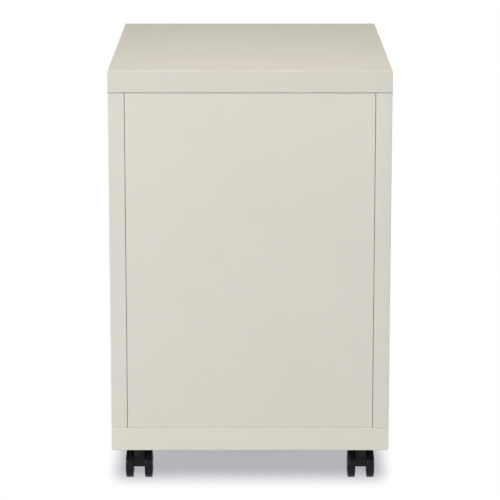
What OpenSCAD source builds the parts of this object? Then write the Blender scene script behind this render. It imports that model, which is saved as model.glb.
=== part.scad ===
// Mobile pedestal filing cabinet: a steel case on four twin-wheel casters, with a box
// drawer over a file drawer, ball-bearing slides and one lock that holds both drawers.
// The frame has +Z up, the drawer fronts towards -Y, and its origin on the floor at
// the middle of the case.

/* [Case] */
// Width across the side panels
case_w = 381; // [350:1:450]
// Depth from the drawer fronts to the rear bands
case_d = 505; // [420:1:600]
// Height of the top face above the floor
case_h = 578; // [550:1:640]
// Height of the top band
band_h = 30; // [27:0.5:38]
// Height of the base band
base_h = 32; // [29:0.5:40]
// Thickness of the case sheet
sheet_t = 0.9; // [0.7:0.1:1.2]
// Outer radius of the folded edges
bend_r = 2; // [1.6:0.1:4]
// Width of the side panels' front and rear returns
return_w = 22; // [20:0.5:30]
// Length of the laps behind the bands
lap_len = 15; // [8:0.5:18]
// Clearance between lapped sheets
lap_gap = 0.1; // [0.05:0.05:0.3]
// Width of the open seams between panels
seam_gap = 0.8; // [0.3:0.1:1.2]
// Depth of the open seams and of the laps, behind the faces of the bands
seam_depth = 4; // [2:0.5:8]

/* [Frame inside the case] */
// Sheet thickness of the uprights and rails
frame_t = 1.2; // [1:0.1:1.6]
// Width of an upright along the side panel
upright_w = 40; // [36:1:50]
// Width of the lips that weld an upright to its side panel
upright_lip = 8; // [5:0.5:12]
// Height of the rail between the two drawers
rail_h = 20; // [12:0.5:22]
// Depth of the rail between the two drawers
rail_depth = 15; // [8:0.5:30]
// Width of the stiffener under the top
stiffener_w = 80; // [50:1:150]
// Depth of the stiffener under the top
stiffener_h = 15; // [8:0.5:18]
// Width of the stiffener's welded feet
stiffener_foot = 16; // [10:0.5:20]
// Gap between the counterweight and the plates over the casters
weight_gap = 4; // [2:0.5:40]
// Length of the counterweight along the depth
weight_l = 160; // [100:1:220]
// Thickness of the counterweight
weight_t = 18; // [10:0.5:24]
// Side of the square plate over each caster
gusset_w = 60; // [40:1:64]
// Thickness of the plate over each caster
gusset_t = 2.5; // [1.5:0.1:4]

/* [Drawers] */
// Height of the box drawer's front
box_front_h = 150; // [135:1:175]
// Thickness of the drawer fronts
front_t = 22; // [20:0.5:26]
// Gap between the fronts and the bands
reveal = 3; // [2:0.5:5]
// Gap between the two fronts
front_split = 4; // [2:0.5:6]
// Gap between a closed front and the case behind it
front_standoff = 1.5; // [1:0.1:3]
// Thickness of the drawer sheet
drawer_t = 0.8; // [0.6:0.1:1.2]
// Distance from the box drawer's bottom to its front's lower edge
box_lift = 11; // [10:0.5:16]
// Distance from the file drawer's bottom to its front's lower edge
file_lift = 3; // [1:0.5:8]
// Distance from the box drawer's rim down from its front's top
box_rim_drop = 21; // [16:0.5:30]
// Distance from the file drawer's rim down from its front's top
file_rim_drop = 34; // [26:0.5:60]
// Width of the box drawer's folded rim
hem_w = 6; // [3:0.5:10]
// Distance from the front of the box drawer to its divider
divider_at = 300; // [100:1:340]
// Height of the box drawer's divider
divider_h = 80; // [30:1:100]
// Foot of the box drawer's divider
divider_foot = 12; // [6:0.5:20]

/* [Pulls] */
// Height of the opening above the lip of a pull
pull_mouth = 24; // [20:0.5:30]
// Depth of the trough behind the lip
pull_trough = 14; // [8:0.5:20]
// Thickness of the lip, front to back
pull_lip = 6; // [4:0.5:8]
// Sheet thickness of a pull
pull_t = 1.2; // [1:0.1:1.6]

/* [Slides] */
// Step between the standard lengths of a slide
slide_step = 50; // [25:25:50]
// Least room behind a slide, in front of the back panel
slide_rear_room = 20; // [10:0.5:25]
// Height of a slide
slide_h = 45; // [44:0.1:52]
// Thickness of a slide
slide_t = 12.7; // [12.7:0.1:14]
// Sheet thickness of the slide members
member_t = 1.2; // [1:0.1:1.3]
// Diameter of a bearing ball
ball_d = 4; // [3.6:0.1:4.4]
// Clearance round a bearing ball
ball_gap = 0.02; // [0.01:0.01:0.05]
// Length of a ball cage
cage_len = 200; // [120:5:220]
// Sheet thickness of a ball cage
cage_t = 0.8; // [0.5:0.1:0.9]
// Play of a ball cage between two webs
cage_play = 0.5; // [0.45:0.05:0.6]
// Distance from the drawer side to the edge of an outer member's flange
outer_flange_gap = 3.2; // [2.8:0.1:4]
// Distance from the drawer side to the edge of a middle member's flange
middle_flange_gap = 2.8; // [2.4:0.1:3.2]
// Depth of an inner member
inner_depth = 6.7; // [6:0.1:7]
// Balls in each row of a cage
ball_count = 4; // [3:1:8]
// Height of the box drawer's slides above its bottom
box_slide_up = 45; // [30:1:50]
// Height of the file drawer's slides above its bottom
file_slide_up = 100; // [40:1:140]
// Diameter of the rivets that hold the slides
rivet_d = 4; // [3:0.1:5]
// Head diameter of those rivets
rivet_head_d = 7; // [6:0.1:9]

/* [Lock] */
// Distance from the case's right side to the lock's centre
lock_inset = 32.5; // [32.5:0.1:32.5]
// Diameter of the lock's rotating plug
plug_d = 12; // [10:0.1:13]
// Outer diameter of the lock's housing
housing_d = 16; // [15:0.1:17.5]
// Diameter of the lock's bezel
bezel_d = 19; // [18.5:0.1:22]
// Distance that the bezel stands proud of the band
bezel_t = 1.5; // [1:0.1:3]
// Distance from the lock's centre to the cam's pin
cam_r = 8.5; // [8:0.1:8.8]
// Diameter of the cam's pin
cam_pin_d = 4; // [3:0.1:4.2]
// Thickness of the lock bar
bar_t = 2; // [1.5:0.1:2.2]
// Width of the lock bar
bar_w = 16; // [12:0.5:17]
// Height of the box drawer's catch above the drawer's bottom
box_catch_up = 91; // [85:0.5:95]
// Height of the file drawer's catch above the drawer's bottom
file_catch_up = 222; // [180:1:230]
// Height of a lug on the bar and of a catch on a drawer
lug_h = 10; // [8:0.5:10]
// Width of a lug along the depth
lug_w = 4; // [3:0.5:6]

/* [Casters] */
// Height of a caster, from the floor to the underside of the base
caster_h = 51; // [51:0.5:60]
// Wheel diameter
wheel_d = 40; // [36:0.5:40]
// Width of one wheel
wheel_w = 10.7; // [8:0.1:12]
// Width of the caster's body between the wheels
caster_body_w = 15; // [14:0.1:18]
// Clearance between the body and each wheel
wheel_gap = 0.3; // [0.2:0.05:0.6]
// Distance from the swivel axis to the axle
trail = 16; // [14:0.5:18]
// Axle diameter
axle_d = 6; // [4:0.1:7]
// Diameter of the stem's threaded part
stem_d = 8; // [7:0.1:8]
// Diameter of the stem in the body's boss
pivot_d = 6; // [5:0.1:6.4]
// Outer diameter of the boss round the stem
boss_d = 10; // [9.5:0.1:11]
// Length of the boss round the stem
boss_len = 19; // [16:0.5:21]
// Distance from the sides of the case to the swivel axes
caster_inset = 36.5; // [32:0.5:50]
// Distance from the rear of the case to the rear swivel axes
rear_stem_inset = 28; // [26:0.5:60]
// Distance from the front of the case to the front swivel axes
front_stem_inset = 45; // [45:0.5:70]

/* [Hidden] */
$fn = 48;

// Colours
putty = [0.83, 0.83, 0.79];
inner_putty = [0.76, 0.76, 0.72];
zinc = [0.72, 0.73, 0.75];
chrome = [0.85, 0.86, 0.88];
black = [0.13, 0.13, 0.14];
iron = [0.3, 0.3, 0.31];

// Clearances and small sizes shared by several pieces
cut_over = 1;          // how far a cut runs past the face that it opens
run_gap = 0.05;        // radial clearance of a shaft in its bore
hole_gap = 0.1;        // radial clearance of a rivet or stem in its hole
bolt_gap = 0.025;      // radial clearance of a nut or wheel on its shaft
nest_gap = 0.3;        // clearance of a plate nested in a pan

// Case planes
half_w = case_w / 2;
half_d = case_d / 2;
base_z = caster_h;
base_top_z = base_z + base_h;
cap_z = case_h - band_h;
side_z = [base_top_z + lap_gap, cap_z - seam_gap];
rear_inset = 1;
panel_rear_y = half_d - rear_inset;
front_back_y = -half_d + front_t;
case_front_y = front_back_y + front_standoff;
opening_x = half_w - return_w;
inner_side_x = half_w - sheet_t;

// Drawer fronts and boxes
file_front_z = [base_top_z + reveal, cap_z - reveal - box_front_h - front_split];
box_front_z = [file_front_z[1] + front_split, cap_z - reveal];
drawer_x = opening_x - slide_t;
drawer_in_x = drawer_x - drawer_t;
slide_inset = 1;
lap_y = [half_d - seam_depth - sheet_t, half_d - seam_depth];
back_in_y = panel_rear_y - seam_depth - lap_gap - sheet_t;
slide_room = back_in_y - slide_rear_room - case_front_y - slide_inset;
slide_len = slide_step * floor(slide_room / slide_step);
slide_y = [case_front_y + slide_inset, case_front_y + slide_inset + slide_len];
drawer_rear_inset = 6;
drawer_y = [front_back_y, slide_y[1] - drawer_rear_inset];
box_z = [box_front_z[0] + box_lift, box_front_z[1] - box_rim_drop];
file_z = [file_front_z[0] + file_lift, file_front_z[1] - file_rim_drop];
box_slide_z = box_z[0] + box_slide_up;
file_slide_z = file_z[0] + file_slide_up;

// Uprights
upright_end_gap = 1.5;
upright_inset = 2;
upright_z = [side_z[0] + upright_end_gap, side_z[1] - upright_end_gap];
front_upright_y = case_front_y + upright_inset;
rear_upright_y = slide_y[1] - upright_w - upright_inset;
rivet_end = 22;
rivet_y = [slide_y[0] + rivet_end, slide_y[1] - rivet_end];
flat_head_t = 0.4;
round_head_t = 1.5;

// Slide section: depth u from the case side, half heights from the ball rows
outer_in_h = slide_h / 2 - member_t;
middle_out_h = outer_in_h - ball_d;
middle_in_h = middle_out_h - member_t;
inner_out_h = middle_in_h - ball_d;
web_play = 0.7;
inner_cage_play = 0.4;
outer_cage_u = member_t + cage_play;
middle_u = outer_cage_u + cage_t + web_play;
inner_cage_u = middle_u + member_t + inner_cage_play;
inner_u = slide_t - member_t;
outer_flange_u = slide_t - outer_flange_gap;
middle_flange_u = slide_t - middle_flange_gap;
inner_flange_u = slide_t - inner_depth;
outer_ball_u = (middle_u + outer_flange_u) / 2;
inner_ball_u = (inner_flange_u + middle_flange_u) / 2;
outer_ball_h = (outer_in_h + middle_out_h) / 2;
inner_ball_h = (middle_in_h + inner_out_h) / 2;
cage_rim = 0.6;
cage_end = 10;

// Lock
lock_x = half_w - lock_inset;
lock_z = cap_z + band_h / 2;
lock_back_gap = 0.2;
cam_t = 2;
tail_d = 6;
tail_end = 2;
cam_y = front_back_y + lock_back_gap;
cam_angle = 45;
cam_reach = cam_r * cos(cam_angle);
bar_travel = 2 * cam_reach;
bar_gap = 2;
bar_inset = 1.8;
bar_stand = 2.3;
bar_y = front_upright_y + frame_t + bar_inset;
bar_x = opening_x + frame_t + bar_stand;
bar_slot_gap = 0.6;
bar_tip = 1.5;
bar_tip_x = lock_x + bar_tip;
lug_room = 4.2;
lug_grip = 4.5;
lug_tip_x = drawer_x + lug_room;
lug_y = bar_y + bar_w / 2;
lug_lift = 2;
catch_x = lug_tip_x + lug_grip;
catch_t = 2.5;
catch_gap = 1;
box_catch_z = box_z[0] + box_catch_up;
file_catch_z = file_z[0] + file_catch_up;
arm_h = 10;
arm_z = lock_z + cam_reach;
guide_h = 8;

// Casters
axle_z = wheel_d / 2;
collar_t = 1.5;
collar_d = 14;
collar_gap = 0.2;
body_rim = 4;
body_drop = 0.5;
axle_wall = 2;
body_head = 6;
boss_top = caster_h - collar_t - collar_gap;
body_r = wheel_d / 2 - body_rim;
body_low = wheel_d / 2 - body_drop;
body_high = caster_h - body_head;
caster_x = half_w - caster_inset;
weight_w = 2 * (caster_x - gusset_w / 2 - weight_gap);
wheel_x = caster_body_w / 2 + wheel_gap;
shoulder_r = 3;
nut_w = 13;
nut_h = 6.5;
rear_stem_y = half_d - rear_stem_inset;
front_stem_y = -half_d + front_stem_inset;
lever_pivot_back = 4;
lever_pivot_up = 2;
lever_pivot = [-trail - lever_pivot_back, wheel_d + lever_pivot_up];
lever_ear_w = 3;
lever_arm_up = 0.5;
lever_wall = 0.8;
shoe_reach = 8;
shoe_w = 1.5;
shoe_h = 3;
lever_t = 3;
lever_reach = 43;
lever_pad_y = 32;
lever_half_w = 16;
lever_pin_d = 3;

// Block between [low, high] pairs along each axis
module block(x, y, z) {
    translate([x[0], y[0], z[0]])
        cube([x[1] - x[0], y[1] - y[0], z[1] - z[0]]);
}

// The same shape on the right and on the left
module both_sides() {
    children();
    mirror([1, 0, 0]) children();
}

// Cylinder along +Y from its first point
module rod_y(at, d, len) {
    translate(at) rotate([-90, 0, 0]) cylinder(h = len, d = d);
}

// Cylinder along +X from its first point
module rod_x(at, d, len) {
    translate(at) rotate([0, 90, 0]) cylinder(h = len, d = d);
}

// Quarter ring of a folded sheet, in the first quadrant
module quarter_fold() {
    difference() {
        intersection() {
            circle(bend_r);
            square(bend_r);
        }
        circle(bend_r - sheet_t);
    }
}

// Rectangle with its four corners rounded
module rounded_plan(w, d, r) {
    square([w - 2 * r, d], center = true);
    square([w, d - 2 * r], center = true);
    for (x = [-1, 1], y = [-1, 1])
        translate([x * (w / 2 - r), y * (d / 2 - r)]) circle(r);
}

// Outline of a pan from its side: rounded above by r and below by rim_r
module pan_outline(w, h, r, rim_r) {
    translate([-w / 2, rim_r]) square([w, h - r - rim_r]);
    translate([-w / 2 + rim_r, 0]) square([w - 2 * rim_r, h - r]);
    translate([-w / 2 + r, 0]) square([w - 2 * r, h]);
    for (x = [-1, 1]) {
        translate([x * (w / 2 - r), h - r]) circle(r);
        if (rim_r > 0) translate([x * (w / 2 - rim_r), rim_r]) circle(rim_r);
    }
}

// Solid block with rounded upright edges, rounded top edges and a rounded rim
module folded_block(w, d, h, r, rim_r = 0) {
    intersection() {
        linear_extrude(h) rounded_plan(w, d, r);
        translate([0, d / 2, 0]) rotate([90, 0, 0])
            linear_extrude(d) pan_outline(w, h, r, rim_r);
        translate([-w / 2, 0, 0]) rotate([90, 0, 90])
            linear_extrude(w) pan_outline(d, h, r, rim_r);
    }
}

// Sheet pan, open below, with its folded edges rounded
module pan(w, d, h) {
    difference() {
        folded_block(w, d, h, bend_r);
        translate([0, 0, -cut_over])
            folded_block(w - 2 * sheet_t, d - 2 * sheet_t, h - sheet_t + cut_over,
                         bend_r - sheet_t);
    }
}

// ---- Case ----

module top_cap() {
    color(putty) {
        difference() {
            translate([0, 0, cap_z]) pan(case_w, case_d, band_h);
            rod_y([lock_x, -half_d - cut_over, lock_z], housing_d + 2 * hole_gap,
                  sheet_t + 2 * cut_over);
        }
        block([-inner_side_x, inner_side_x], [-half_d + sheet_t, case_front_y - lap_gap],
              [cap_z, cap_z + sheet_t]);
        cap_returns();
    }
}

// Edges of the top cap, turned in to meet the laps of the panels
module cap_returns() {
    return_in = seam_depth - lap_gap;
    return_z = [cap_z, cap_z + sheet_t];
    block([-inner_side_x, inner_side_x], [half_d - return_in, half_d - sheet_t], return_z);
    both_sides()
        block([half_w - return_in, inner_side_x], [case_front_y - lap_gap, half_d - sheet_t],
              return_z);
}

// Pan with its rim folded in all round, to carry the panels
module base_pan() {
    fold_in = seam_depth - lap_gap;
    inner_r = bend_r - sheet_t;
    color(putty)
        difference() {
            translate([0, 0, base_z]) folded_block(case_w, case_d, base_h, bend_r, bend_r);
            translate([0, 0, base_z + sheet_t])
                folded_block(case_w - 2 * sheet_t, case_d - 2 * sheet_t, base_h - 2 * sheet_t,
                             inner_r, inner_r);
            block([fold_in - half_w, half_w - fold_in], [case_front_y - lap_gap, half_d - fold_in],
                  [base_top_z - sheet_t - cut_over, base_top_z + cut_over]);
            at_casters() cylinder(h = base_top_z, d = stem_d + 2 * hole_gap);
        }
}

// Plan of the right side panel with its front and rear returns
module side_plan() {
    translate([inner_side_x, case_front_y + bend_r])
        square([sheet_t, panel_rear_y - case_front_y - 2 * bend_r]);
    for (y = [case_front_y, panel_rear_y - sheet_t])
        translate([opening_x, y]) square([return_w - bend_r, sheet_t]);
    translate([opening_x, panel_rear_y - seam_depth]) square([sheet_t, seam_depth]);
    translate([half_w - bend_r, panel_rear_y - bend_r]) quarter_fold();
    translate([half_w - bend_r, case_front_y + bend_r]) mirror([0, 1]) quarter_fold();
}

// The right panel's laps behind one band, with the steps to them
module side_laps(edge_z, out) {
    corner = max(bend_r, seam_depth);
    run_x = [opening_x, half_w - corner];
    run_y = [case_front_y + corner, panel_rear_y - corner];
    lap_x = [half_w - seam_depth - sheet_t, half_w - seam_depth];
    step_end = edge_z - out * sheet_t;
    lap_end = edge_z + out * lap_len;
    step_z = [min(edge_z, step_end), max(edge_z, step_end)];
    lap_z = [min(step_end, lap_end), max(step_end, lap_end)];
    block([lap_x[0], half_w], run_y, step_z);
    block(lap_x, run_y, lap_z);
    block(run_x, [lap_y[0], panel_rear_y], step_z);
    block(run_x, lap_y, lap_z);
}

module side_panel() {
    color(putty) {
        translate([0, 0, side_z[0]]) linear_extrude(side_z[1] - side_z[0]) side_plan();
        side_laps(side_z[0], -1);
        side_laps(side_z[1], 1);
    }
}

module left_side_panel() {
    mirror([1, 0, 0]) side_panel();
}

module right_side_panel() {
    side_panel();
}

module back_panel() {
    edge_x = opening_x - seam_gap;
    lap_x = opening_x + return_w / 2;
    face_y = [panel_rear_y - sheet_t, panel_rear_y];
    side_lap_y = [back_in_y, back_in_y + sheet_t];
    step_z = [side_z[0] + sheet_t, side_z[1] - sheet_t];
    color(putty) {
        block([-edge_x, edge_x], face_y, side_z);
        block([-edge_x, edge_x], [lap_y[0], panel_rear_y], [side_z[0], step_z[0]]);
        block([-edge_x, edge_x], lap_y, [side_z[0] - lap_len, step_z[0]]);
        block([-edge_x, edge_x], [lap_y[0], panel_rear_y], [step_z[1], side_z[1]]);
        block([-edge_x, edge_x], lap_y, [step_z[1], side_z[1] + lap_len]);
        both_sides() {
            block([edge_x - sheet_t, edge_x], [side_lap_y[0], face_y[0]], side_z);
            block([edge_x - sheet_t, lap_x], side_lap_y, side_z);
        }
    }
}

// ---- Frame inside the case ----

// Right-hand upright: a lipped channel whose web carries the slides
module upright(y) {
    web_x = [opening_x, opening_x + frame_t];
    ends_y = [y, y + upright_w - frame_t];
    lips_y = [y, y + upright_w - upright_lip];
    difference() {
        union() {
            block(web_x, [y, y + upright_w], upright_z);
            for (leg_y = ends_y)
                block([opening_x, inner_side_x], [leg_y, leg_y + frame_t], upright_z);
            for (lip_y = lips_y)
                block([inner_side_x - frame_t, inner_side_x], [lip_y, lip_y + upright_lip],
                      upright_z);
        }
        for (hole_y = rivet_y, z = [box_slide_z, file_slide_z])
            rod_x([opening_x - cut_over, hole_y, z], rivet_d + 2 * hole_gap,
                  frame_t + 2 * cut_over);
    }
}

module front_left_upright() {
    color(zinc) mirror([1, 0, 0]) upright(front_upright_y);
}

module front_right_upright() {
    color(zinc)
        difference() {
            upright(front_upright_y);
            for (z = [box_catch_z, file_catch_z])
                block([opening_x - cut_over, opening_x + frame_t + cut_over],
                      [lug_y - bar_slot_gap, lug_y + lug_w + bar_slot_gap],
                      [z - bar_travel, z + lug_lift + bar_travel]);
        }
}

module rear_left_upright() {
    color(zinc) mirror([1, 0, 0]) upright(rear_upright_y);
}

module rear_right_upright() {
    color(zinc) upright(rear_upright_y);
}

module front_cross_rail() {
    mid_z = (file_front_z[1] + box_front_z[0]) / 2;
    rail_z = [mid_z - rail_h / 2, mid_z + rail_h / 2];
    rail_y = [case_front_y, case_front_y + rail_depth];
    rail_x = [-opening_x, opening_x];
    color(putty) {
        block(rail_x, [rail_y[0], rail_y[0] + sheet_t], rail_z);
        block(rail_x, rail_y, [rail_z[0], rail_z[0] + sheet_t]);
        block(rail_x, rail_y, [rail_z[1] - sheet_t, rail_z[1]]);
    }
}

module top_stiffener() {
    under_z = case_h - sheet_t;
    reach_x = [-opening_x, opening_x];
    rib_y = [-stiffener_w / 2 + stiffener_foot, stiffener_w / 2 - stiffener_foot];
    color(zinc) {
        block(reach_x, rib_y, [under_z - stiffener_h, under_z - stiffener_h + frame_t]);
        for (side = [0, 1]) mirror([0, side, 0]) {
            block(reach_x, [rib_y[1] - frame_t, rib_y[1]], [under_z - stiffener_h, under_z]);
            block(reach_x, [rib_y[1] - frame_t, stiffener_w / 2],
                  [under_z - frame_t, under_z]);
        }
    }
}

module caster_gussets() {
    plate_z = base_z + sheet_t;
    color(zinc)
        at_casters()
            difference() {
                translate([-gusset_w / 2, -gusset_w / 2 + gusset_shift($stem_y), plate_z])
                    cube([gusset_w, gusset_w, gusset_t]);
                cylinder(h = base_top_z, d = stem_d + 2 * hole_gap);
            }
}

// A plate moves inwards where it would meet the pan's front or rear wall
function gusset_shift(y) =
    -sign(y) * max(0, abs(y) + gusset_w / 2 - (half_d - bend_r - sheet_t));

module counterweight() {
    edge_gap = 20;
    bolt_inset = 20;
    weight_y = half_d - sheet_t - edge_gap;
    bolt_x = weight_w / 2 - bolt_inset;
    floor_z = base_z + sheet_t;
    color(iron) {
        difference() {
            block([-weight_w / 2, weight_w / 2], [weight_y - weight_l, weight_y],
                  [floor_z, floor_z + weight_t]);
            for (x = [-bolt_x, bolt_x])
                translate([x, weight_y - weight_l / 2, floor_z - cut_over])
                    cylinder(h = weight_t + 2 * cut_over, d = stem_d + 2 * hole_gap);
        }
        for (x = [-bolt_x, bolt_x])
            translate([x, weight_y - weight_l / 2, floor_z]) {
                cylinder(h = weight_t, d = stem_d);
                translate([0, 0, weight_t]) cylinder(h = nut_h, d = nut_w);
            }
    }
}

// ---- Slides ----

// Channel section of a slide member, lying along +Y, with its web at depth u
module member(web_u, flange_u, out_h, t, y) {
    x_web = [opening_x - web_u - t, opening_x - web_u];
    x_flange = [opening_x - max(flange_u, web_u + t), opening_x - min(flange_u, web_u)];
    block(x_web, y, [-out_h, out_h]);
    for (side = [0, 1]) mirror([0, 0, side])
        block(x_flange, y, [out_h - t, out_h]);
}

module slide_outers(z) {
    color(zinc)
        both_sides() translate([0, 0, z])
            difference() {
                member(0, outer_flange_u, slide_h / 2, member_t, slide_y);
                for (y = rivet_y)
                    rod_x([opening_x - member_t - cut_over, y, 0], rivet_d + 2 * hole_gap,
                          member_t + 2 * cut_over);
            }
}

module slide_middles(z) {
    color(zinc)
        both_sides() translate([0, 0, z])
            member(middle_u, middle_flange_u, middle_out_h, member_t, slide_y);
}

module slide_inners(z) {
    color(zinc)
        both_sides() translate([0, 0, z])
            difference() {
                member(inner_u, inner_flange_u, inner_out_h, member_t, slide_y);
                for (y = rivet_y)
                    rod_x([drawer_x - cut_over, y, 0], rivet_d + 2 * hole_gap,
                          member_t + 2 * cut_over);
            }
}

// Ball cage with its two rows of balls
module cage(web_u, ball_u, ball_h, z) {
    mid_y = (slide_y[0] + slide_y[1]) / 2;
    cage_y = [mid_y - cage_len / 2, mid_y + cage_len / 2];
    pitch = (cage_len - 2 * cage_end) / (ball_count - 1);
    flange_u = ball_u + ball_d / 2 + cage_rim;
    ball_y = [for (i = [0 : ball_count - 1]) cage_y[0] + cage_end + i * pitch];
    color(chrome)
        both_sides() translate([0, 0, z]) {
            difference() {
                member(web_u, flange_u, ball_h + cage_t / 2, cage_t, cage_y);
                for (y = ball_y)
                    translate([opening_x - ball_u, y, -slide_h / 2])
                        cylinder(h = slide_h, d = ball_d + 2 * run_gap);
            }
            for (y = ball_y, side = [-1, 1])
                translate([opening_x - ball_u, y, side * ball_h])
                    sphere(d = ball_d - 2 * ball_gap);
        }
}

module slide_rivets() {
    color(zinc)
        both_sides()
            for (y = rivet_y, z = [box_slide_z, file_slide_z]) {
                rod_x([opening_x - member_t, y, z], rivet_d, member_t + frame_t);
                rod_x([opening_x - member_t - flat_head_t, y, z], rivet_head_d, flat_head_t);
                rod_x([opening_x + frame_t, y, z], rivet_head_d, round_head_t);
            }
}

// Rivets from a drawer's side into its slide members
module drawer_rivets(z) {
    color(zinc)
        both_sides()
            for (y = rivet_y) {
                rod_x([drawer_in_x, y, z], rivet_d, drawer_t + member_t);
                rod_x([drawer_in_x - round_head_t, y, z], rivet_head_d, round_head_t);
                rod_x([drawer_x + member_t, y, z], rivet_head_d, round_head_t);
            }
}

module box_slide_outers() { slide_outers(box_slide_z); }
module file_slide_outers() { slide_outers(file_slide_z); }
module box_slide_middles() { slide_middles(box_slide_z); }
module file_slide_middles() { slide_middles(file_slide_z); }
module box_slide_inners() { slide_inners(box_slide_z); }
module file_slide_inners() { slide_inners(file_slide_z); }
module box_outer_cages() { cage(outer_cage_u, outer_ball_u, outer_ball_h, box_slide_z); }
module file_outer_cages() { cage(outer_cage_u, outer_ball_u, outer_ball_h, file_slide_z); }
module box_inner_cages() { cage(inner_cage_u, inner_ball_u, inner_ball_h, box_slide_z); }
module file_inner_cages() { cage(inner_cage_u, inner_ball_u, inner_ball_h, file_slide_z); }
module box_drawer_rivets() { drawer_rivets(box_slide_z); }
module file_drawer_rivets() { drawer_rivets(file_slide_z); }

module drawer_bumpers() {
    bumper_d = 8;
    bumper_t = front_standoff - lap_gap;
    inset_z = 28;
    color(black)
        both_sides()
            for (z = [file_front_z[0] + inset_z, file_front_z[1] - inset_z,
                      box_front_z[0] + inset_z, box_front_z[1] - inset_z])
                rod_y([opening_x + return_w / 2, case_front_y - bumper_t, z], bumper_d,
                      bumper_t);
}

// ---- Drawers ----

// Outer pan of a drawer front, cut away above the lip of its pull
module drawer_front(z) {
    front_h = z[1] - z[0];
    mid_z = (z[0] + z[1]) / 2;
    color(putty)
        difference() {
            translate([0, front_back_y, mid_z]) rotate([90, 0, 0])
                pan(case_w, front_h, front_t);
            block([-inner_side_x, inner_side_x], [-half_d - cut_over, front_back_y + cut_over],
                  [z[1] - pull_mouth - pull_t, z[1] + cut_over]);
        }
}

// Full-width pull: lip, trough and back wall folded from one strip
module drawer_pull(z) {
    pull_x = [-inner_side_x + lap_gap, inner_side_x - lap_gap];
    lip_z = z[1] - pull_mouth;
    low_z = lip_z - pull_trough;
    wall_y = front_back_y - sheet_t - lap_gap;
    lip_y = -half_d + pull_lip;
    color(putty) {
        block(pull_x, [-half_d, lip_y], [lip_z - pull_t, lip_z]);
        block(pull_x, [lip_y - pull_t, lip_y], [low_z - pull_t, lip_z]);
        block(pull_x, [lip_y - pull_t, wall_y], [low_z - pull_t, low_z]);
        block(pull_x, [wall_y - pull_t, wall_y], [low_z - pull_t, z[1]]);
        block(pull_x, [wall_y - pull_t, front_back_y], [z[1] - pull_t, z[1]]);
    }
}

// Plate that closes the back of a drawer front and carries the drawer's box
module drawer_inner_front(z) {
    plate_x = inner_side_x - nest_gap;
    color(inner_putty)
        block([-plate_x, plate_x], [front_back_y - sheet_t, front_back_y],
              [z[0] + sheet_t + nest_gap, z[1] - pull_t - nest_gap]);
}

// Bottom and sides of a drawer, folded from one sheet
module drawer_shell(z, rivet_z) {
    color(inner_putty)
        difference() {
            union() {
                block([-drawer_x, drawer_x], drawer_y, [z[0], z[0] + drawer_t]);
                both_sides()
                    block([drawer_in_x, drawer_x], drawer_y, z);
            }
            for (y = rivet_y)
                rod_x([-drawer_x - cut_over, y, rivet_z], rivet_d + 2 * hole_gap,
                      2 * (drawer_x + cut_over));
        }
}

module drawer_back(z) {
    rim_room = 1;
    color(inner_putty)
        block([-drawer_in_x, drawer_in_x], [drawer_y[1] - drawer_t, drawer_y[1]],
              [z[0] + drawer_t, z[1] - drawer_t - rim_room]);
}

// Angle on the drawer's right side that the lock bar's lug stands in front of
module lock_catch(z) {
    foot_t = 1.2;
    foot_len = 18;
    catch_y = lug_y + lug_w + catch_gap;
    color(zinc) {
        block([drawer_x, catch_x], [catch_y, catch_y + catch_t], [z - lug_h, z]);
        block([drawer_x, drawer_x + foot_t], [catch_y, catch_y + catch_t + foot_len],
              [z - lug_h, z]);
    }
}

module box_drawer_front() { drawer_front(box_front_z); }
module box_drawer_pull() { drawer_pull(box_front_z); }
module box_drawer_inner_front() { drawer_inner_front(box_front_z); }
module box_drawer_back() { drawer_back(box_z); }
module box_lock_catch() { lock_catch(box_catch_z); }
module file_drawer_front() { drawer_front(file_front_z); }
module file_drawer_pull() { drawer_pull(file_front_z); }
module file_drawer_inner_front() { drawer_inner_front(file_front_z); }
module file_drawer_back() { drawer_back(file_z); }
module file_lock_catch() { lock_catch(file_catch_z); }
module file_drawer_shell() { drawer_shell(file_z, file_slide_z); }

module box_drawer_shell() {
    drawer_shell(box_z, box_slide_z);
    color(inner_putty)
        both_sides()
            block([drawer_x - hem_w, drawer_x], drawer_y, [box_z[1] - drawer_t, box_z[1]]);
}

module box_drawer_divider() {
    wall_x = drawer_in_x - nest_gap;
    wall_y = drawer_y[0] + divider_at;
    floor_z = box_z[0] + drawer_t;
    color(inner_putty) {
        block([-wall_x, wall_x], [wall_y, wall_y + drawer_t], [floor_z, floor_z + divider_h]);
        block([-wall_x, wall_x], [wall_y, wall_y + divider_foot],
              [floor_z, floor_z + drawer_t]);
    }
}

// Caps along the file drawer's side edges, where folder hooks hang
module file_folder_rails() {
    rail_t = 1;
    leg_h = 8;
    slot_x = [drawer_in_x - lap_gap, drawer_x + lap_gap];
    rail_y = [drawer_y[0] + lap_gap, drawer_y[1] - drawer_t - lap_gap];
    rail_z = [file_z[1] - leg_h, file_z[1] + rail_t];
    color(black)
        both_sides()
            difference() {
                block([slot_x[0] - rail_t, slot_x[1] + rail_t], rail_y, rail_z);
                block(slot_x, [rail_y[0] - cut_over, rail_y[1] + cut_over],
                      [rail_z[0] - cut_over, file_z[1]]);
            }
}

// ---- Lock ----

module lock_housing() {
    color(chrome)
        difference() {
            union() {
                rod_y([lock_x, -half_d - bezel_t, lock_z], bezel_d, bezel_t);
                rod_y([lock_x, -half_d - bezel_t, lock_z], housing_d, front_t + bezel_t);
            }
            rod_y([lock_x, -half_d - bezel_t - cut_over, lock_z], plug_d + 2 * run_gap,
                  front_t + bezel_t + 2 * cut_over);
        }
}

module lock_nut() {
    lock_nut_rim = 3;
    lock_nut_d = housing_d + 2 * lock_nut_rim;
    lock_nut_t = 3;
    color(zinc)
        difference() {
            rod_y([lock_x, -half_d + sheet_t, lock_z], lock_nut_d, lock_nut_t);
            rod_y([lock_x, -half_d, lock_z], housing_d + 2 * bolt_gap,
                  lock_nut_t + 2 * cut_over);
        }
}

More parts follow.
